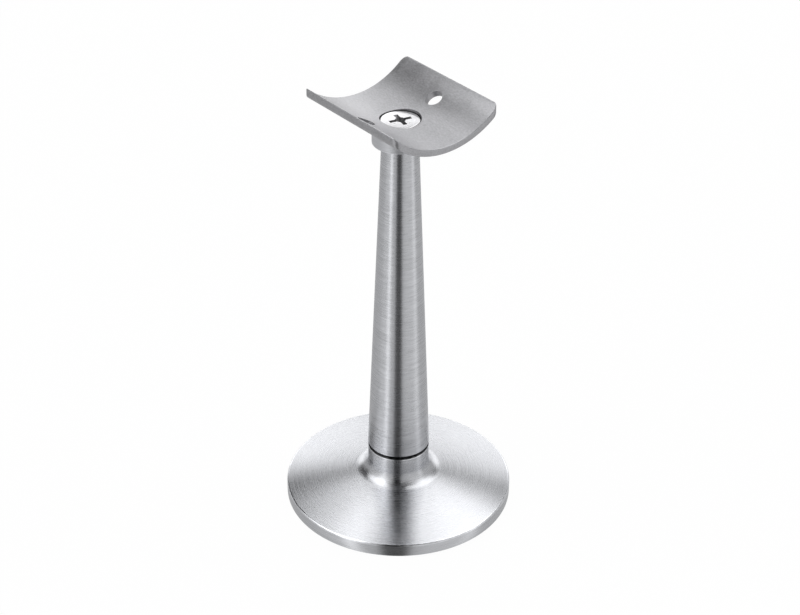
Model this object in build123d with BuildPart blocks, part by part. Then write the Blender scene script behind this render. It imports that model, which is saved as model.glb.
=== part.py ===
from build123d import *

import os
from math import cos, radians, sin, tan

# Railing saddle post: a turned flange, a tapered post screwed on it, and a rolled
# saddle plate that takes a round rail.
#
# All sizes are in millimetres. The origin is the middle of the flange's underside,
# +Z is up, and the rail lies along X.

# Rail and saddle plate
rail_diameter = 50.8
saddle_thickness = 2.0
saddle_length = 42.0  # along the rail
saddle_width = 36.2  # across the rail, seen from above
saddle_corner_radius = 2.0
saddle_edge_chamfer = 0.3
rail_hole_diameter = 5.2
rail_hole_spacing = 26.0  # measured round the bend, at the middle of the sheet

# Collar between the saddle plate and the post
collar_diameter = 16.2
collar_height = 5.0  # under the lowest line of the saddle
collar_edge_chamfer = 0.3

# Tapered post
post_length = 104.2
post_foot_diameter = 19.0
post_top_diameter = 10.8
post_foot_chamfer = 0.3
post_top_chamfer = 0.3
joint_slot_height = 0.7  # dark line round the joint with the flange
joint_slot_depth = 1.4

# Flange, turned from one bar
flange_diameter = 70.0
flange_height = 17.2
flange_rim_height = 4.0
flange_edge_chamfer = 0.5
flange_underside_chamfer = 0.2
neck_diameter = 18.9
neck_edge_chamfer = 0.4
cove_radius = 4.5
crown_height = 7.6  # lowest point of the cove, where the sloping top begins

# Thread for the fixing bolt, in the flange's underside
fixing_thread_diameter = 10.0
fixing_thread_pitch = 1.5
fixing_thread_depth = 8.0

# Stud that joins the flange and the post, half of it in each
stud_thread_diameter = 8.0
stud_thread_pitch = 1.25
stud_length = 16.0
stud_socket_flats = 4.0
stud_socket_depth = 4.0

# Countersunk screw that holds the saddle and the collar on the post
screw_thread_diameter = 6.0
screw_thread_pitch = 1.0
screw_length = 20.0  # with the head
screw_head_diameter = 11.3
screw_head_rim = 0.3  # straight edge above the cone
screw_head_sink = 0.1  # below the lowest line of the saddle, clear of the rail
screw_clearance_diameter = 6.6
screw_turn = -13.0  # how the cross recess stands to the rail, in degrees

# Cross recess of the screw
recess_width = 6.8
recess_arm_thickness = 1.3
recess_core_diameter = 3.0
recess_depth = 3.3
recess_floor_diameter = 1.8

# Angles of the tools, in degrees
countersink_angle = 90.0
drill_point_angle = 118.0

# Clearances
seat_gap = 0.05  # between curved faces that rest on each other
thread_gap = 0.05  # between a thread's core and the tapped wall
thread_run_out = 2.0  # room past the end of a screw in a blind hole

# Heights of the seats, from the underside up
joint_z = flange_height
post_top_z = joint_z + post_length
collar_top_z = post_top_z + collar_height
trough_z = collar_top_z + seat_gap + saddle_thickness

# The rail's axis, and the saddle rolled round it
rail_axis_z = trough_z + rail_diameter / 2
saddle_inner_radius = rail_diameter / 2
saddle_outer_radius = saddle_inner_radius + saddle_thickness
saddle_mid_radius = saddle_inner_radius + saddle_thickness / 2
rail_hole_angle = rail_hole_spacing / 2 / saddle_mid_radius

# The screw's seat: a cone that lies outside the head's cone by the seat gap
screw_head_z = trough_z - screw_head_sink
screw_tip_z = screw_head_z - screw_length
cone_slope = tan(radians(countersink_angle / 2))
seat_radius = screw_head_diameter / 2 + screw_head_rim * cone_slope + seat_gap


def core_radius(thread_diameter, thread_pitch):
    """Radius at the root of a screw's thread, which is also the tapping drill's radius."""
    return (thread_diameter - thread_pitch) / 2


def tapped_hole(mouth, thread_diameter, thread_pitch, depth):
    """Drill a blind hole for a thread into the part in hand, with a chamfered mouth.

    The mouth is a plane that faces out of the hole. The wall is left at tapping size.
    """
    radius = core_radius(thread_diameter, thread_pitch)
    point_height = radius / tan(radians(drill_point_angle / 2))
    with Locations(mouth):
        CounterSinkHole(radius, thread_diameter / 2, depth, countersink_angle)
    with Locations(mouth.offset(-depth)):
        Cone(0, radius, point_height, align=(Align.CENTER, Align.CENTER, Align.MAX),
             mode=Mode.SUBTRACT)


def screw_seat():
    """Cut the screw's clearance hole and its cone into the part in hand.

    The wall goes straight up from the head's level through the saddle's rising sides.
    """
    with Locations(Plane.XY.offset(screw_head_z)):
        CounterSinkHole(screw_clearance_diameter / 2, seat_radius, depth=screw_length,
                        counter_sink_angle=countersink_angle)


def outer_rims(part, radius):
    """Circular edges of a turned part that have this radius."""
    return part.edges().filter_by(GeomType.CIRCLE).filter_by(
        lambda edge: abs(edge.radius - radius) < 0.001)


# Flange: flat underside, low rim, sloping top, quarter-round cove and straight neck
with BuildPart() as base_flange:
    neck_radius = neck_diameter / 2
    crown_radius = neck_radius + cove_radius
    with BuildSketch(Plane.XZ):
        with BuildLine():
            foot = Polyline((0, joint_z), (0, 0), (flange_diameter / 2, 0),
                            (flange_diameter / 2, flange_rim_height),
                            (crown_radius, crown_height))
            cove = CenterArc((crown_radius, crown_height + cove_radius), cove_radius, 180, 90)
            Polyline(cove @ 0, (neck_radius, joint_z), foot @ 0)
        make_face()
    revolve(axis=Axis.Z)
    underside_rim, top_rim = outer_rims(base_flange, flange_diameter / 2).sort_by(Axis.Z)
    chamfer(top_rim, flange_edge_chamfer)
    chamfer(underside_rim, flange_underside_chamfer)
    chamfer(outer_rims(base_flange, neck_radius).sort_by(Axis.Z)[-1], neck_edge_chamfer)
    tapped_hole(Plane.XY.rotated((180, 0, 0)), fixing_thread_diameter, fixing_thread_pitch,
                fixing_thread_depth)
    with Locations(Plane.XY.offset(joint_z)):
        CounterSinkHole(core_radius(stud_thread_diameter, stud_thread_pitch),
                        stud_thread_diameter / 2, joint_z - fixing_thread_depth,
                        countersink_angle)
base_flange.part.label = "base_flange"

# Stud: a headless screw with a hexagon socket in its upper end
with BuildPart() as joint_stud:
    stud_radius = core_radius(stud_thread_diameter, stud_thread_pitch) - thread_gap
    with BuildSketch(Plane.XY.offset(joint_z - stud_length / 2)):
        Circle(stud_radius)
    extrude(amount=stud_length)
    chamfer(joint_stud.edges().filter_by(GeomType.CIRCLE), stud_thread_pitch / 2)
    with BuildSketch(joint_stud.faces().sort_by(Axis.Z)[-1]):
        RegularPolygon(stud_socket_flats / 2, 6, major_radius=False)
    extrude(amount=-stud_socket_depth, mode=Mode.SUBTRACT)
joint_stud.part.label = "joint_stud"

# Post: a plain taper, tapped at both ends, with a slot round the foot
with BuildPart() as post:
    seat_edge = post_foot_diameter / 2 - joint_slot_depth
    shoulder_z = joint_z + joint_slot_height
    with BuildSketch(Plane.XZ):
        with BuildLine():
            Polyline((0, joint_z), (seat_edge, joint_z), (seat_edge, shoulder_z),
                     (post_foot_diameter / 2, shoulder_z), (post_top_diameter / 2, post_top_z),
                     (0, post_top_z), close=True)
        make_face()
    revolve(axis=Axis.Z)
    chamfer(outer_rims(post, post_foot_diameter / 2), post_foot_chamfer)
    chamfer(outer_rims(post, post_top_diameter / 2), post_top_chamfer)
    tapped_hole(Plane.XY.offset(joint_z).rotated((180, 0, 0)), stud_thread_diameter,
                stud_thread_pitch, stud_length / 2 + thread_run_out)
    tapped_hole(Plane.XY.offset(post_top_z), screw_thread_diameter, screw_thread_pitch,
                post_top_z - screw_tip_z + thread_run_out)
post.part.label = "post"

# Collar: flat below, hollowed above to the saddle's outer curve
with BuildPart() as saddle_collar:
    with BuildSketch(Plane.XY.offset(post_top_z)):
        Circle(collar_diameter / 2)
    extrude(amount=collar_height + saddle_thickness)
    chamfer(saddle_collar.edges().group_by(Axis.Z)[0], collar_edge_chamfer)
    with BuildSketch(Plane.YZ):
        with Locations((0, rail_axis_z)):
            Circle(saddle_outer_radius + seat_gap)
    extrude(amount=collar_diameter, both=True, mode=Mode.SUBTRACT)
    screw_seat()
saddle_collar.part.label = "saddle_collar"

# Saddle plate: sheet rolled round the rail's axis, its sides trimmed square to the base
with BuildPart() as saddle_plate:
    with BuildSketch(Plane.XY.offset(trough_z - saddle_thickness)):
        RectangleRounded(saddle_length, saddle_width, saddle_corner_radius)
    extrude(amount=saddle_outer_radius)
    with BuildSketch(Plane.YZ):
        with Locations((0, rail_axis_z)):
            Circle(saddle_outer_radius)
            Circle(saddle_inner_radius, mode=Mode.SUBTRACT)
    extrude(amount=saddle_length, both=True, mode=Mode.INTERSECT)
    rolled_faces = saddle_plate.faces().sort_by(SortBy.AREA)[-2:]
    chamfer([edge for face in rolled_faces for edge in face.edges()], saddle_edge_chamfer)
    screw_seat()
    for side in (-1, 1):
        across = side * sin(rail_hole_angle)
        down = -cos(rail_hole_angle)
        hole_middle = (0, across * saddle_mid_radius, rail_axis_z + down * saddle_mid_radius)
        with Locations(Plane(hole_middle, z_dir=(0, across, down))):
            Hole(rail_hole_diameter / 2, saddle_thickness)
saddle_plate.part.label = "saddle_plate"

# Recess: a cross with a round core, cut to a cone that narrows downwards
with BuildPart() as recess:
    with BuildSketch(Plane.XY.offset(screw_head_z)):
        for turn in (screw_turn, screw_turn + 90):
            Rectangle(recess_width, recess_arm_thickness, rotation=turn)
        Circle(recess_core_diameter / 2)
    extrude(amount=-recess_depth)
    with Locations(Plane.XY.offset(screw_head_z)):
        Cone(recess_floor_diameter / 2, recess_width / 2, recess_depth,
             align=(Align.CENTER, Align.CENTER, Align.MAX), mode=Mode.INTERSECT)

# Screw: countersunk head, threaded shank left at the thread's core, pointed end
with BuildPart() as saddle_screw:
    head_radius = screw_head_diameter / 2
    shank_radius = core_radius(screw_thread_diameter, screw_thread_pitch) - thread_gap
    rim_z = screw_head_z - screw_head_rim
    neck_z = rim_z - (head_radius - shank_radius) / cone_slope
    with BuildSketch(Plane.XZ):
        with BuildLine():
            Polyline((0, screw_head_z), (head_radius, screw_head_z), (head_radius, rim_z),
                     (shank_radius, neck_z), (shank_radius, screw_tip_z), (0, screw_tip_z),
                     close=True)
        make_face()
    revolve(axis=Axis.Z)
    tip_edge = saddle_screw.edges().filter_by(GeomType.CIRCLE).sort_by(Axis.Z)[0]
    chamfer(tip_edge, screw_thread_pitch / 2)
    add(recess.part, mode=Mode.SUBTRACT)
saddle_screw.part.label = "saddle_screw"

os.makedirs("parts", exist_ok=True)
for piece in (base_flange, joint_stud, post, saddle_collar, saddle_plate, saddle_screw):
    export_step(piece.part, f"parts/{piece.part.label}.step")
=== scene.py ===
from math import cos, hypot, pi, radians, sin, sqrt, tan

import bmesh
import bpy
from bpy.props import FloatProperty, FloatVectorProperty, IntProperty, PointerProperty
from bpy.types import Operator, Panel, PropertyGroup
from mathutils import Matrix, Vector


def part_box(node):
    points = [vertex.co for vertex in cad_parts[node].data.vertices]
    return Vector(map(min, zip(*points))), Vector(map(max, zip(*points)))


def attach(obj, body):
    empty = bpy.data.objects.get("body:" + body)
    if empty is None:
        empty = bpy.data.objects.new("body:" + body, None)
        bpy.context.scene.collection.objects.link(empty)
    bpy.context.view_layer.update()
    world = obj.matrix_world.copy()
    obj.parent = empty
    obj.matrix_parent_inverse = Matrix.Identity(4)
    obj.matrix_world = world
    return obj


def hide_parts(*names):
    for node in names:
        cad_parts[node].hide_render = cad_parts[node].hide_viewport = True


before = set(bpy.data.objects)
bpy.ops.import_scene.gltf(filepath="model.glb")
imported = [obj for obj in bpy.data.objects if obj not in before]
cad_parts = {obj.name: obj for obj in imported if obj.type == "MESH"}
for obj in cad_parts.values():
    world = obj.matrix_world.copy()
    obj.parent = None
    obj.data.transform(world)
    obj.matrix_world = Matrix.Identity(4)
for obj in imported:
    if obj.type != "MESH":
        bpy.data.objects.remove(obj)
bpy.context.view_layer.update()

bl_info = {
    "name": "Railing Saddle Post",
    "version": (1, 0, 0),
    "blender": (4, 5, 0),
    "location": "View3D > Sidebar > Saddle Post",
    "description": "A turned steel post with a rolled saddle plate for a round handrail",
    "category": "Add Mesh",
}

# Lowest and highest corners of the fixed parts, in metres. The post's axis is Z and
# the rail lies along X.
FLANGE_LOW, FLANGE_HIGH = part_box("base_flange")
STUD_LOW, STUD_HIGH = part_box("joint_stud")
POST_LOW, POST_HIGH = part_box("post")
COLLAR_LOW, COLLAR_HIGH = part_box("saddle_collar")
PLATE_LOW, PLATE_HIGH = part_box("saddle_plate")
SCREW_LOW, SCREW_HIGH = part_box("saddle_screw")

WEAR_AND_HIGHLIGHT = "edge_wear_and_highlight"  # face corner attribute of edge wear and painted highlight, 1 on rounded edges and 0 elsewhere
PAINTED_SHADE = "painted_shade"  # face corner attribute of painted shade, up to 1 in slots and recesses where shade falls
SHARP = radians(25)  # edges that turn by more than this are shaded as creases
THREAD_LEAD = 0.0003  # chamfer at the mouth of a threaded hole
ROOT_SINK = 0.00002  # how deep a thread's ridge is set in the wall that it stands on
SPARE = 0.001  # how far a blank or a cutter stands past the surface that ends it


# Properties

def length_property(name, description, default):
    return FloatProperty(name=name, description=description, default=default, min=0,
                         precision=5, unit="LENGTH", subtype="DISTANCE")


def angle_property(name, description, default):
    return FloatProperty(name=name, description=description, default=default,
                         unit="ROTATION", subtype="ANGLE")


def colour_property(name, description, default):
    return FloatVectorProperty(name=name, description=description, default=default,
                               size=3, min=0, max=1, subtype="COLOR")


def factor_property(name, description, default):
    return FloatProperty(name=name, description=description, default=default,
                         min=0, max=1, subtype="FACTOR")


class FlangeSizes(PropertyGroup):
    diameter: length_property(
        "Diameter", "Outside diameter of the flange", FLANGE_HIGH.x - FLANGE_LOW.x)
    rim_height: length_property("Rim Height", "Height of the upright rim", 0.004)
    crown_height: length_property("Crown Height", "Height where the cove begins", 0.0076)
    cove_radius: length_property("Cove Radius", "Radius of the hollow at the neck", 0.0045)
    neck_diameter: length_property("Neck Diameter", "Diameter of the neck", 0.0189)
    rim_rounding: length_property("Rim Rounding", "Rounding of the rim's upper edge", 0.0005)
    foot_rounding: length_property("Foot Rounding", "Rounding of the lower edge", 0.0002)
    neck_rounding: length_property("Neck Rounding", "Rounding of the neck's edge", 0.0006)


class PostSizes(PropertyGroup):
    foot_diameter: length_property("Foot Diameter", "Diameter at the flange", 0.019)
    top_diameter: length_property("Top Diameter", "Diameter under the saddle", 0.0108)
    foot_rounding: length_property("Foot Rounding", "Rounding of the lower edge", 0.0003)
    slot_height: length_property("Slot Height", "Dark line round the joint with the flange", 0.0007)
    slot_depth: length_property("Slot Depth", "Depth of that line", 0.0014)
    top_rounding: length_property("Top Rounding", "Rounding of the upper edge", 0.0003)


class SaddleSizes(PropertyGroup):
    rail_diameter: length_property("Rail Diameter", "Handrail that the saddle takes", 0.0508)
    thickness: length_property("Thickness", "Thickness of the sheet", 0.002)
    length: length_property("Length", "Length along the rail", PLATE_HIGH.x - PLATE_LOW.x)
    width: length_property("Width", "Width across the rail", PLATE_HIGH.y - PLATE_LOW.y)
    corner_radius: length_property("Corner Radius", "Radius of the four corners", 0.002)
    edge_rounding: length_property("Edge Rounding", "Rounding of the outline's edges", 0.00035)
    rail_hole_diameter: length_property("Rail Hole", "Hole for a rail screw", 0.0052)
    rail_hole_spacing: length_property("Hole Spacing", "Between the holes, round the bend", 0.026)
    collar_diameter: length_property(
        "Collar Diameter", "Outside diameter of the collar", COLLAR_HIGH.x - COLLAR_LOW.x)
    collar_rounding: length_property("Collar Rounding", "Rounding of its lower edge", 0.0003)
    seat_gap: length_property("Seat Gap", "Room between seated curved faces", 0.00005)


class ThreadSizes(PropertyGroup):
    fixing_diameter: length_property("Fixing Thread", "Diameter of the bolt's thread", 0.010)
    fixing_pitch: length_property("Fixing Pitch", "Pitch of the bolt's thread", 0.0015)
    fixing_depth: length_property("Fixing Depth", "Depth of the bolt's hole", 0.008)
    stud_diameter: length_property("Stud Thread", "Diameter of the stud's thread", 0.008)
    stud_pitch: length_property("Stud Pitch", "Pitch of the stud's thread", 0.00125)
    stud_socket_flats: length_property("Stud Socket", "Across the socket's flats", 0.004)
    stud_socket_depth: length_property("Socket Depth", "Depth of the socket", 0.004)
    screw_diameter: length_property("Screw Thread", "Diameter of the screw's thread", 0.006)
    screw_pitch: length_property("Screw Pitch", "Pitch of the screw's thread", 0.001)
    gap: length_property("Thread Gap", "Between a thread's core and its hole", 0.00005)
    run_out: length_property("Run Out", "Hole left past the end of a screw", 0.002)
    drill_point: angle_property("Drill Point", "Angle of a blind hole's end", radians(118))
    steps: IntProperty(name="Steps", description="Steps in a turn of thread", default=48)


class ScrewSizes(PropertyGroup):
    head_diameter: length_property(
        "Head Diameter", "Diameter of the countersunk head", SCREW_HIGH.x - SCREW_LOW.x)
    head_rim: length_property("Head Rim", "Straight edge above the cone", 0.0003)
    head_rounding: length_property("Head Rounding", "Rounding of the head's edge", 0.00012)
    head_sink: length_property("Head Sink", "Depth under the saddle's lowest line", 0.0001)
    clearance_diameter: length_property("Clearance", "Hole that the screw passes", 0.0066)
    recess_width: length_property("Recess Width", "Width over the cross's arms", 0.0068)
    recess_arm: length_property("Recess Arm", "Thickness of an arm", 0.0013)
    recess_core: length_property("Recess Core", "Diameter of the cross's core", 0.003)
    recess_depth: length_property("Recess Depth", "Depth of the cross", 0.0033)
    recess_floor: length_property("Recess Floor", "Width at the cross's bottom", 0.0018)
    # How dark the cross recess is painted as shade
    recess_shade: factor_property("Recess Shade", "Darkness of the cross", 0.55)
    turn: angle_property("Turn", "How the cross stands to the rail", radians(-13))


class SteelFinish(PropertyGroup):
    turned_colour: colour_property("Turned Steel", "Flange, post, collar", (0.61, 0.618, 0.642))
    sheet_colour: colour_property("Sheet Steel", "Saddle plate", (0.42, 0.42, 0.435))
    screw_colour: colour_property("Screw Steel", "Screw and stud", (0.82, 0.82, 0.835))
    line_spacing: length_property("Line Spacing", "Width of a turning line", 0.0004)
    roughness: factor_property("Roughness", "Roughness of the post and the stud", 0.29)
    anisotropy: factor_property("Anisotropy", "Stretch of highlights across the lines", 0.95)
    # Rubbed edges: real wear, and a painted highlight on the roundings
    wear_and_highlight: factor_property("Edge Wear And Highlight", "Brightness of rubbed edges", 1.0)
    # Painted shade: how dark slots, recesses and joints are painted where shade falls in them
    painted_shade: factor_property("Painted Shade", "Darkness of slots and recesses", 1.0)


def soft_card(label, bearing, half_width, low, high, side_blur, end_blur, strength):
    """Settings of one soft card of light, or of dark where its strength is negative.

    Angles are in degrees. The bearing is to the right of the camera, seen from the
    object, and low and high are heights over the horizon.
    """
    return type(label, (PropertyGroup,), {"__annotations__": {
        "bearing": angle_property("Bearing", "Middle of the card", radians(bearing)),
        "half_width": angle_property("Half Width", "From its middle to a side", radians(half_width)),
        "low": angle_property("Low", "Height of its lower end", radians(low)),
        "high": angle_property("High", "Height of its upper end", radians(high)),
        "side_blur": angle_property("Side Blur", "Softness of its sides", radians(side_blur)),
        "end_blur": angle_property("End Blur", "Softness of its ends", radians(end_blur)),
        "strength": FloatProperty(name="Strength", description="Light that it adds",
                                  default=strength)}})


LowRoom = soft_card("LowRoom", 0, 190, -55, 5, 3, 12, 0.08)
LowCamera = soft_card("LowCamera", -3, 15, -100, 8, 5, 10, -0.46)
LowLeft = soft_card("LowLeft", -60, 24, -100, 8, 6, 10, 0.12)
LowPeak = soft_card("LowPeak", -48, 6, -100, 8, 5, 10, 0.65)
LowRight = soft_card("LowRight", 54, 32, -100, 8, 12, 10, 0.16)
LowEdge = soft_card("LowEdge", 77, 8, -100, 8, 4, 10, 0.32)
CameraSide = soft_card("CameraSide", -5, 11, 8, 65, 5, 10, -0.60)
LeftCard = soft_card("LeftCard", -50, 18, 8, 60, 11, 12, 0.60)
RightCard = soft_card("RightCard", 60, 28, 8, 58, 12, 12, 0.20)
LeftTop = soft_card("LeftTop", -82, 30, 32, 76, 8, 7, 1.90)
LeftGap = soft_card("LeftGap", -134, 21, 15, 60, 6, 7, -0.90)
RightSlit = soft_card("RightSlit", 139, 5, 25, 46, 3, 5, -1.30)
BackCard = soft_card("BackCard", 180, 33, -1, 30, 6, 7, 1.25)
BackSlit = soft_card("BackSlit", 180, 3, 32, 90, 1.5, 5, -2.00)
TopCard = soft_card("TopCard", 150, 68, 41, 100, 12, 6, 1.40)
FrontTop = soft_card("FrontTop", 3, 61, 56, 100, 25, 9, -0.90)
FrontSlit = soft_card("FrontSlit", 0, 9, 42, 100, 5, 8, -1.00)


class StudioSettings(PropertyGroup):
    room_light: factor_property("Room Light", "Plain light from all round", 0.50)
    low_room: PointerProperty(type=LowRoom)
    low_camera: PointerProperty(type=LowCamera)
    low_left: PointerProperty(type=LowLeft)
    low_peak: PointerProperty(type=LowPeak)
    low_right: PointerProperty(type=LowRight)
    low_edge: PointerProperty(type=LowEdge)
    camera_side: PointerProperty(type=CameraSide)
    left: PointerProperty(type=LeftCard)
    right: PointerProperty(type=RightCard)
    left_top: PointerProperty(type=LeftTop)
    left_gap: PointerProperty(type=LeftGap)
    right_slit: PointerProperty(type=RightSlit)
    back: PointerProperty(type=BackCard)
    back_slit: PointerProperty(type=BackSlit)
    top: PointerProperty(type=TopCard)
    front_top: PointerProperty(type=FrontTop)
    front_slit: PointerProperty(type=FrontSlit)
    floor_colour: colour_property("Floor", "Colour of the floor", (0.9, 0.9, 0.9))
    floor_glow: factor_property("Floor Glow", "Share of plain white the camera sees", 0.97)
    floor_gap: length_property("Floor Gap", "Between the floor and the flange", 0.00005)
    camera_place: FloatVectorProperty(
        name="Camera", description="Where the camera stands",
        default=(0.3642, -0.2884, 0.35664), size=3, precision=4,
        unit="LENGTH", subtype="TRANSLATION")
    camera_azimuth: angle_property("Azimuth", "Turn of the view about Z", radians(51.6))
    camera_pitch: angle_property("Pitch", "How far the view looks down", radians(32))
    camera_roll: angle_property("Roll", "Roll of the camera", radians(0.35))
    focal_length: FloatProperty(
        name="Focal Length", description="Lens of the camera", default=82.79,
        min=1, unit="CAMERA")


class SaddlePostSettings(PropertyGroup):
    flange: PointerProperty(type=FlangeSizes)
    post: PointerProperty(type=PostSizes)
    saddle: PointerProperty(type=SaddleSizes)
    thread: PointerProperty(type=ThreadSizes)
    screw: PointerProperty(type=ScrewSizes)
    finish: PointerProperty(type=SteelFinish)
    studio: PointerProperty(type=StudioSettings)


# Meshes

def arc(centre, radius, start, end, steps):
    """Points (radius, height) of an arc in an outline, with its angles in degrees."""
    angles = [radians(start + (end - start) * step / steps) for step in range(steps + 1)]
    return [(centre[0] + radius * cos(angle), centre[1] + radius * sin(angle))
            for angle in angles]


def new_mesh():
    """An empty bmesh with the attributes that the materials read."""
    bm = bmesh.new()
    for name in (WEAR_AND_HIGHLIGHT, PAINTED_SHADE):
        bm.loops.layers.float.new(name)
    return bm


def paint_shade(bm, amount, inside=lambda place: True):
    """Mark places that are painted dark as shade: the faces whose middle passes inside(middle)."""
    layer = bm.loops.layers.float[PAINTED_SHADE]
    for face in bm.faces:
        if inside(face.calc_center_median()):
            for loop in face.loops:
                loop[layer] = amount


def turned_mesh(outline, closed=True, steps=192):
    """Spin an outline of (radius, height) points about Z."""
    bm = new_mesh()
    verts = [bm.verts.new((radius, 0, height)) for radius, height in outline]
    pairs = list(zip(verts, verts[1:]))
    if closed:
        pairs.append((verts[-1], verts[0]))
    edges = [bm.edges.new(pair) for pair in pairs]
    bmesh.ops.spin(bm, geom=verts + edges, cent=(0, 0, 0), axis=(0, 0, 1), angle=2 * pi,
                   steps=steps, use_merge=True)
    bmesh.ops.remove_doubles(bm, verts=bm.verts, dist=1e-7)
    bmesh.ops.recalc_face_normals(bm, faces=bm.faces)
    return bm


def round_edges(bm, edges, width):
    """Round these edges, and mark the new faces for edge wear and a painted highlight."""
    rounded = bmesh.ops.bevel(bm, geom=edges, offset=width, offset_type="OFFSET",
                              segments=4, profile=0.5, affect="EDGES", material=-1)
    layer = bm.loops.layers.float[WEAR_AND_HIGHLIGHT]
    for face in rounded["faces"]:
        for loop in face.loops:
            loop[layer] = 1


def round_ring(bm, radius, height, width):
    """Round a turned part's circular edge at this radius and height."""
    def on_ring(vert):
        return abs(hypot(vert.co.x, vert.co.y) - radius) < 1e-6 and abs(vert.co.z - height) < 1e-6
    round_edges(bm, [edge for edge in bm.edges if all(map(on_ring, edge.verts))], width)


def add_thread(bm, root, crest, pitch, low, high, steps, limit, phase=0.0):
    """Add a helical ridge between two heights, from its root radius to its crest radius.

    The ridge points outwards on a screw and inwards in a hole. Its radius is passed
    through limit(radius, height), which lets it fade at the ends.
    """
    way = 1 if crest > root else -1
    crest_half = pitch / (16 if way > 0 else 8)
    root_half = crest_half + abs(crest - root) * tan(radians(30))
    sunk_root = root - way * ROOT_SINK
    start = low + root_half + phase * pitch
    count = round((high - root_half - start) / pitch * steps)
    section = [(sunk_root, -root_half), (crest, -crest_half), (crest, crest_half),
               (sunk_root, root_half)]
    before = set(bm.verts)
    face = bm.faces.new([bm.verts.new((radius, 0, start + rise)) for radius, rise in section])
    bmesh.ops.spin(bm, geom=[face], cent=(0, 0, 0), axis=(0, 0, 1), angle=2 * pi * count / steps,
                   dvec=(0, 0, pitch / steps), steps=count)
    ridge = [vert for vert in bm.verts if vert not in before]
    for vert in ridge:
        radius = hypot(vert.co.x, vert.co.y)
        vert.co.xy *= limit(radius, vert.co.z) / radius
    bmesh.ops.recalc_face_normals(bm, faces=list({face for vert in ridge for face in vert.link_faces}))


def finish_mesh(bm, name):
    """Turn a bmesh into an object with smooth faces and sharp edges."""
    mesh = bpy.data.meshes.new(name)
    bm.to_mesh(mesh)
    bm.free()
    mesh.shade_smooth()
    mesh.set_sharp_from_angle(angle=SHARP)
    piece = bpy.data.objects.new(name, mesh)
    bpy.context.scene.collection.objects.link(piece)
    return piece


def cut(piece, cutter):
    """Take the cutter's closed shape out of the piece, and remove the cutter."""
    modifier = piece.modifiers.new("Cut", "BOOLEAN")
    modifier.operation = "DIFFERENCE"
    modifier.solver = "EXACT"
    modifier.object = cutter
    depsgraph = bpy.context.evaluated_depsgraph_get()
    finished = bpy.data.meshes.new_from_object(piece.evaluated_get(depsgraph))
    piece.modifiers.clear()
    old = piece.data
    piece.data = finished
    finished.name = piece.name
    for mesh in (old, cutter.data):
        bpy.data.meshes.remove(mesh)
    finished.set_sharp_from_angle(angle=SHARP)


def cylinder_cutter(radius, length, middle, direction, segments=64):
    """A cylinder round a middle point, along a direction."""
    bm = new_mesh()
    place = Matrix.Translation(middle) @ direction.to_track_quat("Z", "Y").to_matrix().to_4x4()
    bmesh.ops.create_cone(bm, cap_ends=True, segments=segments, radius1=radius, radius2=radius,
                          depth=length, matrix=place)
    return finish_mesh(bm, "cutter")


def seat_cutter(settings):
    """The screw's clearance hole with its cone, and a straight wall above the head. Its walls are
    painted dark as shade, less above the head.
    """
    screw, saddle = settings.screw, settings.saddle
    clearance = screw.clearance_diameter / 2
    seat = screw.head_diameter / 2 + screw.head_rim + saddle.seat_gap
    level, top = SCREW_HIGH.z, SCREW_HIGH.z + 2 * saddle.thickness
    outline = [(0, SCREW_LOW.z), (clearance, SCREW_LOW.z), (clearance, level - (seat - clearance)),
               (seat, level), (seat, top), (0, top)]
    bm = turned_mesh(outline, closed=False, steps=96)
    # Painted shade on the seat's walls, lighter on the wall above the head
    paint_shade(bm, 1)
    paint_shade(bm, 0.4, lambda place: place.z > level + 1e-6)
    return finish_mesh(bm, "cutter")


def blind_hole(thread, drill, mouth, end, point_angle):
    """Outline of a tapped hole, from its mouth to the drill's point on the axis."""
    way = 1 if end > mouth else -1
    return [(thread + THREAD_LEAD, mouth), (thread, mouth + way * THREAD_LEAD),
            (thread, end - way * (thread - drill)), (drill, end),
            (0, end + way * drill / tan(point_angle / 2))]


def seat_on_frame(piece, node):
    """The piece moves with the frame's only body and stands for its solid."""
    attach(piece, "root")
    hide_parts(node)


# Materials

def add_node(tree, kind, inputs=None, **settings):
    """Add a node with its settings, and set or link its inputs by name or number."""
    node = tree.nodes.new(kind)
    for name, value in settings.items():
        setattr(node, name, value)
    for name, value in (inputs or {}).items():
        if isinstance(value, bpy.types.NodeSocket):
            tree.links.new(value, node.inputs[name])
        else:
            node.inputs[name].default_value = value
    return node


def new_group(name, inputs, outputs):
    """An empty node group with number sockets. Returns the tree and its input node."""
    tree = bpy.data.node_groups.new(name, "ShaderNodeTree")
    for label, default in inputs.items():
        socket = tree.interface.new_socket(label, in_out="INPUT", socket_type="NodeSocketFloat")
        socket.default_value = default
    for label in outputs:
        tree.interface.new_socket(label, in_out="OUTPUT", socket_type="NodeSocketFloat")
    return tree, tree.nodes.new("NodeGroupInput")


def close_group(tree, **outputs):
    node = tree.nodes.new("NodeGroupOutput")
    for label, socket in outputs.items():
        tree.links.new(socket, node.inputs[label])


def math_node(tree, operation, *values):
    return add_node(tree, "ShaderNodeMath", dict(enumerate(values)),
                    operation=operation).outputs[0]


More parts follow.
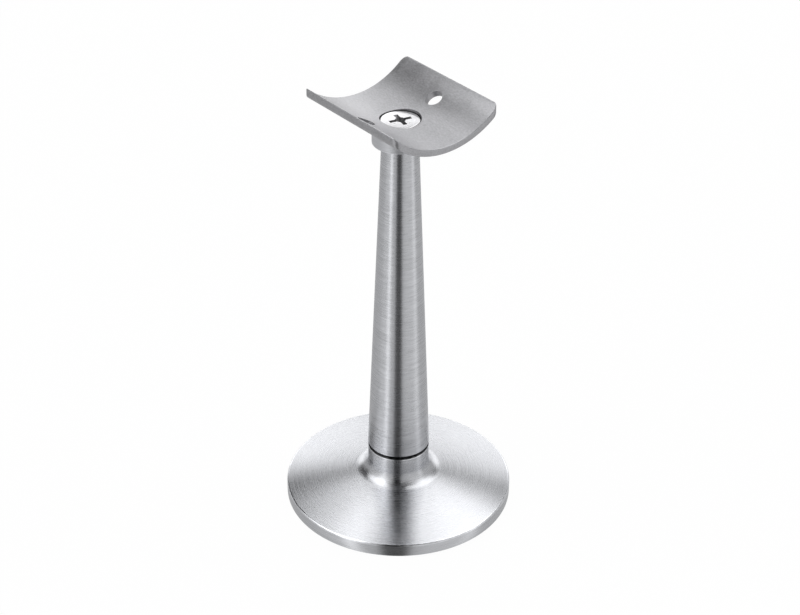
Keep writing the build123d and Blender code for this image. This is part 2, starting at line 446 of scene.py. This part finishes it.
def turned_lines_group():
    """Fine lines that run round the Z axis, as a turning tool and cloth leave them."""
    tree, given = new_group("Turned Lines", {"Spacing": 0.0002, "Arcs": 2.0}, ["Lines"])
    place = add_node(tree, "ShaderNodeTexCoord").outputs["Object"]
    split = add_node(tree, "ShaderNodeSeparateXYZ", {0: place})
    flat = add_node(tree, "ShaderNodeCombineXYZ", {0: split.outputs[0], 1: split.outputs[1]})
    radius = add_node(tree, "ShaderNodeVectorMath", {0: flat.outputs[0]},
                      operation="LENGTH").outputs["Value"]
    around = add_node(tree, "ShaderNodeVectorMath", {0: flat.outputs[0]},
                      operation="NORMALIZE").outputs[0]
    arcs = add_node(tree, "ShaderNodeVectorMath", {0: around, "Scale": given.outputs["Arcs"]},
                    operation="SCALE").outputs[0]
    along = math_node(tree, "SUBTRACT", radius, split.outputs[2])
    lines = math_node(tree, "DIVIDE", along, given.outputs["Spacing"])
    lift = add_node(tree, "ShaderNodeCombineXYZ", {2: lines}).outputs[0]
    vector = add_node(tree, "ShaderNodeVectorMath", {0: arcs, 1: lift}, operation="ADD").outputs[0]
    noise = add_node(tree, "ShaderNodeTexNoise",
                     {"Vector": vector, "Scale": 1.0, "Detail": 3.0, "Roughness": 0.6})
    close_group(tree, Lines=spread_out(tree, noise.outputs[0]))
    return tree


def spread_out(tree, value):
    """Widen the middle of a noise's range to 0 to 1."""
    return add_node(tree, "ShaderNodeMapRange",
                    {"Value": value, "From Min": 0.28, "From Max": 0.72}).outputs[0]


def sheet_grain_group():
    """Short grain of a rolled and tumbled sheet, drawn out along the rail."""
    tree, given = new_group("Sheet Grain", {"Spacing": 0.0002, "Stretch": 3.0}, ["Lines"])
    place = add_node(tree, "ShaderNodeTexCoord").outputs["Object"]
    split = add_node(tree, "ShaderNodeSeparateXYZ", {0: place})
    drawn = math_node(tree, "DIVIDE", split.outputs[0], given.outputs["Stretch"])
    joined = add_node(tree, "ShaderNodeCombineXYZ",
                      {0: drawn, 1: split.outputs[1], 2: split.outputs[2]}).outputs[0]
    scale = math_node(tree, "DIVIDE", 1.0, given.outputs["Spacing"])
    noise = add_node(tree, "ShaderNodeTexNoise",
                     {"Vector": joined, "Scale": scale, "Detail": 3.0, "Roughness": 0.6})
    close_group(tree, Lines=spread_out(tree, noise.outputs[0]))
    return tree


def marks_group():
    """Slow, cloudy change of the finish, as from handling and wiping."""
    tree, given = new_group("Handling Marks", {"Size": 0.01, "Contrast": 1.0}, ["Marks"])
    place = add_node(tree, "ShaderNodeTexCoord").outputs["Object"]
    scale = math_node(tree, "DIVIDE", 1.0, given.outputs["Size"])
    noise = add_node(tree, "ShaderNodeTexNoise",
                     {"Vector": place, "Scale": scale, "Detail": 4.0, "Roughness": 0.55,
                      "Distortion": 0.4})
    spread = math_node(tree, "SUBTRACT", noise.outputs[0], 0.5)
    strong = math_node(tree, "MULTIPLY", spread, given.outputs["Contrast"])
    close_group(tree, Marks=math_node(tree, "ADD", strong, 0.5))
    return tree


def patchy_group(name, attribute, evenness):
    """A mask read from a face corner attribute and broken up by noise."""
    tree, given = new_group(name, {"Amount": 0.5, "Size": 0.002}, ["Mask"])
    marked = add_node(tree, "ShaderNodeAttribute", attribute_name=attribute).outputs["Fac"]
    place = add_node(tree, "ShaderNodeTexCoord").outputs["Object"]
    scale = math_node(tree, "DIVIDE", 1.0, given.outputs["Size"])
    noise = add_node(tree, "ShaderNodeTexNoise", {"Vector": place, "Scale": scale, "Detail": 2.0})
    broken = add_node(tree, "ShaderNodeMapRange",
                      {"Value": noise.outputs[0], "From Min": 0.35, "From Max": 0.65,
                       "To Min": evenness})
    patchy = math_node(tree, "MULTIPLY", marked, broken.outputs[0])
    close_group(tree, Mask=math_node(tree, "MULTIPLY", patchy, given.outputs["Amount"]))
    return tree


# Edge wear and painted highlight: a patchy mask that brightens rounded edges
def wear_and_highlight_group():
    return patchy_group("Edge Wear And Highlight", WEAR_AND_HIGHLIGHT, 0.4)


# Painted shade: a patchy mask that darkens slots and recesses where shade falls
def painted_shade_group():
    return patchy_group("Painted Shade", PAINTED_SHADE, 0.92)


CARD_INPUTS = {"Bearing": "bearing", "Half Width": "half_width", "Side Blur": "side_blur",
               "Low": "low", "High": "high", "End Blur": "end_blur", "Strength": "strength"}


def soft_card_group():
    """Light of a card between two bearings and two heights, with soft sides and ends."""
    tree, given = new_group("Soft Card", {"Around": 0.0, "Height": 0.0, **dict.fromkeys(
        CARD_INPUTS, 0.0)}, ["Light"])
    value = given.outputs

    def step(distance, edge, blur):
        """1 inside the edge and 0 outside it."""
        return add_node(tree, "ShaderNodeMapRange",
                        {0: distance, 1: math_node(tree, "SUBTRACT", edge, blur),
                         2: math_node(tree, "ADD", edge, blur), 3: 1.0, 4: 0.0},
                        interpolation_type="SMOOTHSTEP").outputs[0]
    away = math_node(tree, "PINGPONG", math_node(tree, "SUBTRACT", value["Around"],
                                                 value["Bearing"]), pi)
    sides = step(away, value["Half Width"], value["Side Blur"])
    upper = step(value["Height"], value["High"], value["End Blur"])
    lower = math_node(tree, "SUBTRACT", 1.0, step(value["Height"], value["Low"],
                                                  value["End Blur"]))
    inside = math_node(tree, "MULTIPLY", sides, math_node(tree, "MULTIPLY", upper, lower))
    close_group(tree, Light=math_node(tree, "MULTIPLY", inside, value["Strength"]))
    return tree


def shared_group(name, make):
    return bpy.data.node_groups.get(name) or make()


def use_group(tree, name, make, **values):
    return add_node(tree, "ShaderNodeGroup", values,
                    node_tree=shared_group(name, make)).outputs[0]


def steel_material(name, finish, colour, grain, stretch, roughness, depth, contrast,
                   anisotropy=0.0):
    """Satin steel whose grain is "turned" or "sheet".

    Stretch draws the grain's lines out, depth is their height, and contrast is how far
    their colour swings.
    """
    material = bpy.data.materials.new(name)
    material.use_nodes = True
    tree = material.node_tree
    shader = tree.nodes["Principled BSDF"]
    if grain == "turned":
        lines = use_group(tree, "Turned Lines", turned_lines_group,
                          Spacing=finish.line_spacing, Arcs=stretch)
    else:
        lines = use_group(tree, "Sheet Grain", sheet_grain_group,
                          Spacing=finish.line_spacing, Stretch=stretch)
    marks = use_group(tree, "Handling Marks", marks_group, Size=0.009,
                      Contrast=1.0 if grain == "turned" else 2.0)
    wear_and_highlight = use_group(tree, "Edge Wear And Highlight", wear_and_highlight_group, Size=0.0015,
                     Amount=finish.wear_and_highlight if grain == "turned" else 0.3 * finish.wear_and_highlight)
    # Mask of painted shade in slots, recesses and joints
    painted_shade = use_group(tree, "Painted Shade", painted_shade_group, Amount=finish.painted_shade, Size=0.001)

    def shade(factor):
        return [min(value * factor, 1) for value in colour] + [1]

    def mix(factor, first, second):
        return add_node(tree, "ShaderNodeMix", {0: factor, 6: first, 7: second},
                        data_type="RGBA").outputs[2]
    tone = math_node(tree, "MULTIPLY_ADD", marks, 0.3, math_node(tree, "MULTIPLY", lines, 0.7))
    lined = mix(tone, shade(1 - contrast), shade(1 + contrast))
    # Rounded edges: real rubbing, and a painted highlight that lifts them to 1.45 times the colour
    worn_and_highlit = mix(wear_and_highlight, lined, shade(1.45))
    # Painted shade: slots, recesses and joints darkened to 3% of the colour where shade falls
    tree.links.new(mix(painted_shade, worn_and_highlit, shade(0.03)), shader.inputs["Base Color"])

    rough = math_node(tree, "MULTIPLY_ADD", lines, 0.08, roughness - 0.04)
    clouded = math_node(tree, "MULTIPLY_ADD", marks, 0.10, math_node(tree, "SUBTRACT", rough, 0.05))
    worn = math_node(tree, "MULTIPLY_ADD", wear_and_highlight, -0.10, clouded)
    tree.links.new(math_node(tree, "MULTIPLY_ADD", painted_shade, 0.3, worn), shader.inputs["Roughness"])

    bump = add_node(tree, "ShaderNodeBump", {"Strength": 1.0, "Distance": depth, "Height": lines})
    tree.links.new(bump.outputs[0], shader.inputs["Normal"])
    shader.inputs["Metallic"].default_value = 1.0
    if anisotropy:
        shader.inputs["Anisotropic"].default_value = anisotropy
        shader.inputs["Anisotropic Rotation"].default_value = 0.25
        place = add_node(tree, "ShaderNodeTexCoord").outputs["Object"]
        around = add_node(tree, "ShaderNodeVectorMath", {0: (0, 0, 1), 1: place},
                          operation="CROSS_PRODUCT")
        tree.links.new(around.outputs[0], shader.inputs["Tangent"])
    return material


# Operators

class SADDLEPOST_OT_flange(Operator):
    """Turn the flange, with its cove, neck and tapped holes"""
    bl_idname = "saddle_post.flange"
    bl_label = "Flange"

    def execute(self, context):
        settings = context.scene.saddle_post
        sizes, thread, finish = settings.flange, settings.thread, settings.finish
        rim = sizes.diameter / 2
        neck = sizes.neck_diameter / 2
        top = FLANGE_HIGH.z
        bolt = thread.fixing_diameter / 2
        stud = thread.stud_diameter / 2
        hole_end = thread.fixing_depth
        stud_thread_low = hole_end + 0.001  # over the cone that the drill leaves
        lead = THREAD_LEAD
        outline = [(bolt + lead, 0), (rim, 0), (rim, sizes.rim_height)]
        outline += arc((neck + sizes.cove_radius, sizes.crown_height + sizes.cove_radius),
                       sizes.cove_radius, 270, 180, 16)
        outline += [(neck, top), (stud + lead, top), (stud, top - lead),
                    (stud, hole_end + (bolt - stud) / tan(thread.drill_point / 2)),
                    (bolt, hole_end), (bolt, lead)]
        bm = turned_mesh(outline, steps=256)
        round_ring(bm, rim, sizes.rim_height, sizes.rim_rounding)
        round_ring(bm, rim, 0, sizes.foot_rounding)
        round_ring(bm, neck, top, sizes.neck_rounding)
        # Painted shade: the neck's top face and the upper half of its rounding are painted dark where
        # shade falls at the joint
        paint_shade(bm, 1, lambda place: place.z > top - 0.5 * sizes.neck_rounding)
        add_thread(bm, bolt, bolt - thread.fixing_pitch / 2, thread.fixing_pitch, 0, hole_end,
                   thread.steps, lambda radius, height: max(radius, bolt - height))
        add_thread(bm, stud, stud - thread.stud_pitch / 2, thread.stud_pitch,
                   stud_thread_low, top, thread.steps,
                   lambda radius, height: max(radius, stud - (top - height)))
        flange = finish_mesh(bm, "flange")
        flange.data.materials.append(steel_material(
            "flange_steel", finish, finish.turned_colour, "turned", stretch=2.0, roughness=0.27,
            depth=0.000015, contrast=0.10, anisotropy=finish.anisotropy))
        seat_on_frame(flange, "base_flange")
        return {"FINISHED"}


class SADDLEPOST_OT_stud(Operator):
    """Make the threaded stud that joins the flange and the post"""
    bl_idname = "saddle_post.stud"
    bl_label = "Joint Stud"

    def execute(self, context):
        settings = context.scene.saddle_post
        thread, finish = settings.thread, settings.finish
        core = (thread.stud_diameter - thread.stud_pitch) / 2 - thread.gap
        crest = thread.stud_diameter / 2 - thread.gap
        low, high = STUD_LOW.z, STUD_HIGH.z
        chamfer = thread.stud_pitch / 2
        outline = [(0, low), (core - chamfer, low), (core, low + chamfer),
                   (core, high - chamfer), (core - chamfer, high), (0, high)]
        bm = turned_mesh(outline, closed=False, steps=96)
        add_thread(bm, core, crest, thread.stud_pitch, low, high, thread.steps,
                   lambda radius, height: min(radius, core - chamfer + (height - low),
                                              core - chamfer + (high - height)), 0.5)
        stud = finish_mesh(bm, "stud")
        across_corners = thread.stud_socket_flats / cos(radians(30))
        cut(stud, cylinder_cutter(across_corners / 2, 2 * thread.stud_socket_depth,
                                  Vector((0, 0, high)), Vector((0, 0, 1)), segments=6))
        stud.data.materials.append(steel_material(
            "stud_steel", finish, finish.screw_colour, "turned", stretch=2.0,
            roughness=finish.roughness, depth=0.000005, contrast=0.10))
        seat_on_frame(stud, "joint_stud")
        return {"FINISHED"}


class SADDLEPOST_OT_post(Operator):
    """Turn the tapered post, tapped at both ends"""
    bl_idname = "saddle_post.post"
    bl_label = "Post"

    def execute(self, context):
        settings = context.scene.saddle_post
        sizes, thread, finish = settings.post, settings.thread, settings.finish
        foot, top = sizes.foot_diameter / 2, sizes.top_diameter / 2
        low, high = POST_LOW.z, POST_HIGH.z
        stud, screw = thread.stud_diameter / 2, thread.screw_diameter / 2
        stud_drill, screw_drill = stud - thread.stud_pitch / 2, screw - thread.screw_pitch / 2
        foot_end = STUD_HIGH.z + thread.run_out
        top_end = SCREW_LOW.z - thread.run_out
        foot_hole = blind_hole(stud, stud_drill, low, foot_end, thread.drill_point)
        top_hole = blind_hole(screw, screw_drill, high, top_end, thread.drill_point)
        register = foot - sizes.slot_depth
        shoulder = low + sizes.slot_height
        bm = turned_mesh(foot_hole[::-1] + [(register, low), (register, shoulder), (foot, shoulder),
                                            (top, high)] + top_hole, closed=False)
        round_ring(bm, foot, shoulder, sizes.foot_rounding)
        round_ring(bm, top, high, sizes.top_rounding)
        # Painted shade: the slot round the joint is painted dark where shade falls in it
        paint_shade(bm, 1, lambda place: place.z < shoulder + 1e-6
             and hypot(place.x, place.y) > register * 0.999)
        add_thread(bm, stud, stud_drill, thread.stud_pitch, low, foot_end - thread.run_out / 2,
                   thread.steps, lambda radius, height: max(radius, stud - (height - low)))
        add_thread(bm, screw, screw_drill, thread.screw_pitch, top_end + thread.run_out / 2, high,
                   thread.steps, lambda radius, height: max(radius, screw - (high - height)))
        post = finish_mesh(bm, "tapered_post")
        post.data.materials.append(steel_material(
            "post_steel", finish, finish.turned_colour, "turned", stretch=1.5,
            roughness=finish.roughness, depth=0.00002, contrast=0.24,
            anisotropy=finish.anisotropy))
        seat_on_frame(post, "post")
        return {"FINISHED"}


class SADDLEPOST_OT_plate(Operator):
    """Roll the saddle plate, with its countersunk hole and its two screw holes"""
    bl_idname = "saddle_post.plate"
    bl_label = "Saddle Plate"

    def execute(self, context):
        settings = context.scene.saddle_post
        sizes, finish = settings.saddle, settings.finish
        inner = sizes.rail_diameter / 2
        middle = inner + sizes.thickness / 2
        axis_height = SCREW_HIGH.z + settings.screw.head_sink + inner
        bm = new_mesh()
        bmesh.ops.create_grid(bm, x_segments=1, y_segments=1, size=0.5)
        bmesh.ops.scale(bm, verts=bm.verts, vec=(sizes.length, sizes.width, 1))
        bmesh.ops.bevel(bm, geom=bm.verts[:], offset=sizes.corner_radius, offset_type="OFFSET",
                        segments=12, profile=0.5, affect="VERTICES", material=-1)
        raised = bmesh.ops.extrude_face_region(bm, geom=bm.faces[:])
        bmesh.ops.translate(
            bm, vec=(0, 0, -sizes.thickness),
            verts=[item for item in raised["geom"] if isinstance(item, bmesh.types.BMVert)])
        bmesh.ops.recalc_face_normals(bm, faces=bm.faces)
        round_edges(bm, [edge for edge in bm.edges
                         if abs(edge.verts[0].co.z - edge.verts[1].co.z) < 1e-7],
                    sizes.edge_rounding)
        slices = 96
        for number in range(1, slices):
            line = (number / slices - 0.5) * sizes.width
            bmesh.ops.bisect_plane(bm, geom=bm.verts[:] + bm.edges[:] + bm.faces[:], dist=1e-7,
                                   plane_co=(0, line, 0), plane_no=(0, 1, 0))
        for vert in bm.verts:
            radius = inner - vert.co.z
            vert.co.z = axis_height - sqrt(radius ** 2 - vert.co.y ** 2)
        plate = finish_mesh(bm, "saddle_sheet")
        cut(plate, seat_cutter(settings))
        drill_length = 0.01  # comes out on both sides of the sheet
        for side in (-1, 1):
            angle = side * sizes.rail_hole_spacing / 2 / middle
            outward = Vector((0, sin(angle), -cos(angle)))
            place = Vector((0, 0, axis_height)) + outward * middle
            cut(plate, cylinder_cutter(sizes.rail_hole_diameter / 2, drill_length, place,
                                       outward))
        plate.data.materials.append(steel_material(
            "saddle_steel", finish, finish.sheet_colour, "sheet", stretch=2.0, roughness=0.42,
            depth=0.00002, contrast=0.25))
        seat_on_frame(plate, "saddle_plate")
        return {"FINISHED"}


class SADDLEPOST_OT_collar(Operator):
    """Turn the collar between the saddle plate and the post"""
    bl_idname = "saddle_post.collar"
    bl_label = "Saddle Collar"

    def execute(self, context):
        settings = context.scene.saddle_post
        sizes, finish = settings.saddle, settings.finish
        outside = sizes.collar_diameter / 2
        hole = settings.screw.clearance_diameter / 2
        seat_radius = sizes.rail_diameter / 2 + sizes.thickness + sizes.seat_gap
        axis_height = SCREW_HIGH.z + settings.screw.head_sink + sizes.rail_diameter / 2
        low, high = COLLAR_LOW.z, COLLAR_HIGH.z + SPARE
        bm = turned_mesh([(hole, low), (outside, low), (outside, high), (hole, high)])
        round_ring(bm, outside, low, sizes.collar_rounding)
        collar = finish_mesh(bm, "collar")
        cut(collar, cylinder_cutter(seat_radius, 3 * sizes.collar_diameter,
                                    Vector((0, 0, axis_height)), Vector((1, 0, 0)), 512))
        cut(collar, seat_cutter(settings))
        collar.data.materials.append(steel_material(
            "collar_steel", finish, finish.turned_colour, "turned", stretch=2.0, roughness=0.42,
            depth=0.00001, contrast=0.15))
        seat_on_frame(collar, "saddle_collar")
        return {"FINISHED"}


class SADDLEPOST_OT_screw(Operator):
    """Make the countersunk screw with its cross recess and thread"""
    bl_idname = "saddle_post.screw"
    bl_label = "Saddle Screw"

    def execute(self, context):
        settings = context.scene.saddle_post
        sizes, thread, finish = settings.screw, settings.thread, settings.finish
        head = sizes.head_diameter / 2
        core = (thread.screw_diameter - thread.screw_pitch) / 2 - thread.gap
        crest = thread.screw_diameter / 2 - thread.gap
        low, high = SCREW_LOW.z, SCREW_HIGH.z
        rim = high - sizes.head_rim
        neck = rim - (head - core)
        chamfer = thread.screw_pitch / 2
        outline = [(0, high), (head, high), (head, rim), (core, neck), (core, low + chamfer),
                   (core - chamfer, low), (0, low)]
        bm = turned_mesh(outline, closed=False, steps=96)
        round_ring(bm, head, high, sizes.head_rounding)
        add_thread(bm, core, crest, thread.screw_pitch, low, neck, thread.steps,
                   lambda radius, height: min(radius, core - chamfer + (height - low)), 0.5)
        screw = finish_mesh(bm, "cross_screw")
        for quarter in (0, 1):
            cut(screw, self.arm_cutter(sizes, sizes.turn + quarter * pi / 2))
        cut(screw, self.core_cutter(sizes))
        screw.data.materials.append(steel_material(
            "screw_steel", finish, finish.screw_colour, "turned", stretch=2.0, roughness=0.30,
            depth=0.000006, contrast=0.16))
        seat_on_frame(screw, "saddle_screw")
        return {"FINISHED"}

    def arm_cutter(self, sizes, turn):
        """A bar across the recess, whose ends slope inwards to its floor."""
        bm = new_mesh()
        bmesh.ops.create_cube(bm, size=1)
        bmesh.ops.scale(bm, verts=bm.verts,
                        vec=(sizes.recess_width, sizes.recess_arm, 2 * sizes.recess_depth))
        floor = [vert for vert in bm.verts if vert.co.z < 0]
        slope = (sizes.recess_width - sizes.recess_floor) / sizes.recess_width
        bmesh.ops.scale(bm, verts=floor, vec=(1 - slope, 1, 1))
        top = [vert for vert in bm.verts if vert.co.z > 0]
        bmesh.ops.scale(bm, verts=top, vec=(1 + slope, 1, 1))
        bmesh.ops.rotate(bm, verts=bm.verts, cent=(0, 0, 0), matrix=Matrix.Rotation(turn, 3, "Z"))
        bmesh.ops.translate(bm, verts=bm.verts, vec=(0, 0, SCREW_HIGH.z))
        # Painted shade on the faces that this cutter leaves in the recess
        paint_shade(bm, sizes.recess_shade)
        return finish_mesh(bm, "cutter")

    def core_cutter(self, sizes):
        """The round middle of the recess, which narrows to its floor."""
        core, floor = sizes.recess_core / 2, sizes.recess_floor / 2
        fall = sizes.recess_depth / (sizes.recess_width / 2 - floor)
        high = SCREW_HIGH.z
        narrows = high - (sizes.recess_width / 2 - core) * fall
        outline = [(0, high + SPARE), (core, high + SPARE), (core, narrows),
                   (floor, high - sizes.recess_depth), (0, high - sizes.recess_depth)]
        bm = turned_mesh(outline, closed=False, steps=48)
        # Painted shade on the faces that this cutter leaves in the recess
        paint_shade(bm, sizes.recess_shade)
        return finish_mesh(bm, "cutter")


class SADDLEPOST_OT_stage(Operator):
    """Set up the floor, the soft studio light and the camera"""
    bl_idname = "saddle_post.stage"
    bl_label = "Studio"

    def execute(self, context):
        studio = context.scene.saddle_post.studio
        self.make_floor(studio)
        self.make_world(context.scene, studio)
        self.make_camera(context.scene, studio)
        context.scene.view_settings.view_transform = "Standard"
        return {"FINISHED"}

    def make_floor(self, studio):
        bm = bmesh.new()
        bmesh.ops.create_grid(bm, x_segments=1, y_segments=1, size=3,
                              matrix=Matrix.Translation((0, 0, -studio.floor_gap)))
        floor = finish_mesh(bm, "floor")
        floor.visible_glossy = False
        floor.visible_shadow = False
        material = bpy.data.materials.new("floor")
        material.use_nodes = True
        tree = material.node_tree
        shader = tree.nodes["Principled BSDF"]
        shader.inputs["Base Color"].default_value = (*studio.floor_colour, 1)
        shader.inputs["Roughness"].default_value = 0.8
        glow = add_node(tree, "ShaderNodeEmission", {"Color": (1, 1, 1, 1), "Strength": 1.0})
        path = add_node(tree, "ShaderNodeLightPath")
        share = math_node(tree, "MULTIPLY", path.outputs["Is Camera Ray"], studio.floor_glow)
        mix = add_node(tree, "ShaderNodeMixShader",
                       {0: share, 1: shader.outputs[0], 2: glow.outputs[0]})
        tree.links.new(mix.outputs[0], tree.nodes["Material Output"].inputs["Surface"])
        floor.data.materials.append(material)

    def make_world(self, scene, studio):
        """A white backdrop for the camera, and a room with soft cards for the steel."""
        world = bpy.data.worlds.new("studio")
        scene.world = world
        world.use_nodes = True
        tree = world.node_tree
        place = add_node(tree, "ShaderNodeTexCoord").outputs["Generated"]
        turned = add_node(tree, "ShaderNodeMapping",
                          {"Vector": place, "Rotation": (0, 0, pi / 2 - studio.camera_azimuth)})
        round_about = add_node(tree, "ShaderNodeTexGradient", {0: turned.outputs[0]},
                               gradient_type="RADIAL")
        around = math_node(tree, "MULTIPLY_ADD", round_about.outputs[1], 2 * pi, -pi)
        split = add_node(tree, "ShaderNodeSeparateXYZ", {0: place})
        height = math_node(tree, "ARCSINE", split.outputs[2])
        light = studio.room_light
        for card in (studio.low_room, studio.low_camera, studio.low_left, studio.low_peak,
                     studio.low_right, studio.low_edge, studio.camera_side, studio.left,
                     studio.right, studio.left_top, studio.left_gap, studio.right_slit,
                     studio.back, studio.back_slit, studio.top, studio.front_top,
                     studio.front_slit):
            values = {name: getattr(card, key) for name, key in CARD_INPUTS.items()}
            shine = use_group(tree, "Soft Card", soft_card_group, Around=around, Height=height,
                              **values)
            light = math_node(tree, "ADD", light, shine)
        room = tree.nodes["Background"]
        room.inputs["Color"].default_value = (1, 1, 1, 1)
        tree.links.new(math_node(tree, "MAXIMUM", light, 0.0), room.inputs["Strength"])
        white = add_node(tree, "ShaderNodeBackground", {"Color": (1, 1, 1, 1), "Strength": 1.0})
        path = add_node(tree, "ShaderNodeLightPath")
        mix = add_node(tree, "ShaderNodeMixShader",
                       {0: path.outputs["Is Camera Ray"], 1: room.outputs[0],
                        2: white.outputs[0]})
        tree.links.new(mix.outputs[0], tree.nodes["World Output"].inputs["Surface"])

    def make_camera(self, scene, studio):
        camera = bpy.data.objects.new("camera", bpy.data.cameras.new("camera"))
        scene.collection.objects.link(camera)
        camera.data.sensor_width = 36
        camera.data.lens = studio.focal_length
        camera.data.clip_start, camera.data.clip_end = 0.01, 10
        camera.matrix_world = (Matrix.Translation(studio.camera_place)
                               @ Matrix.Rotation(studio.camera_azimuth, 4, "Z")
                               @ Matrix.Rotation(pi / 2 - studio.camera_pitch, 4, "X")
                               @ Matrix.Rotation(studio.camera_roll, 4, "Z"))
        scene.camera = camera


OPERATORS = (SADDLEPOST_OT_flange, SADDLEPOST_OT_stud, SADDLEPOST_OT_post,
             SADDLEPOST_OT_plate, SADDLEPOST_OT_collar, SADDLEPOST_OT_screw, SADDLEPOST_OT_stage)


class SADDLEPOST_PT_panel(Panel):
    """Buttons for each piece and the studio"""
    bl_idname = "SADDLEPOST_PT_panel"
    bl_label = "Railing Saddle Post"
    bl_space_type = "VIEW_3D"
    bl_region_type = "UI"
    bl_category = "Saddle Post"

    def draw(self, context):
        for operator in OPERATORS:
            self.layout.operator(operator.bl_idname)


CLASSES = (FlangeSizes, PostSizes, SaddleSizes, ThreadSizes, ScrewSizes, SteelFinish,
           LowRoom, LowCamera, LowLeft, LowPeak, LowRight, LowEdge, CameraSide, LeftCard,
           RightCard, LeftTop, LeftGap, RightSlit, BackCard, BackSlit, TopCard,
           FrontTop, FrontSlit,
           StudioSettings, SaddlePostSettings, *OPERATORS, SADDLEPOST_PT_panel)


def register():
    for cls in CLASSES:
        bpy.utils.register_class(cls)
    bpy.types.Scene.saddle_post = PointerProperty(type=SaddlePostSettings)


def unregister():
    del bpy.types.Scene.saddle_post
    for cls in reversed(CLASSES):
        bpy.utils.unregister_class(cls)


def main():
    register()
    for operator in OPERATORS:
        group, name = operator.bl_idname.split(".")
        getattr(getattr(bpy.ops, group), name)()


if __name__ == "__main__":
    main()
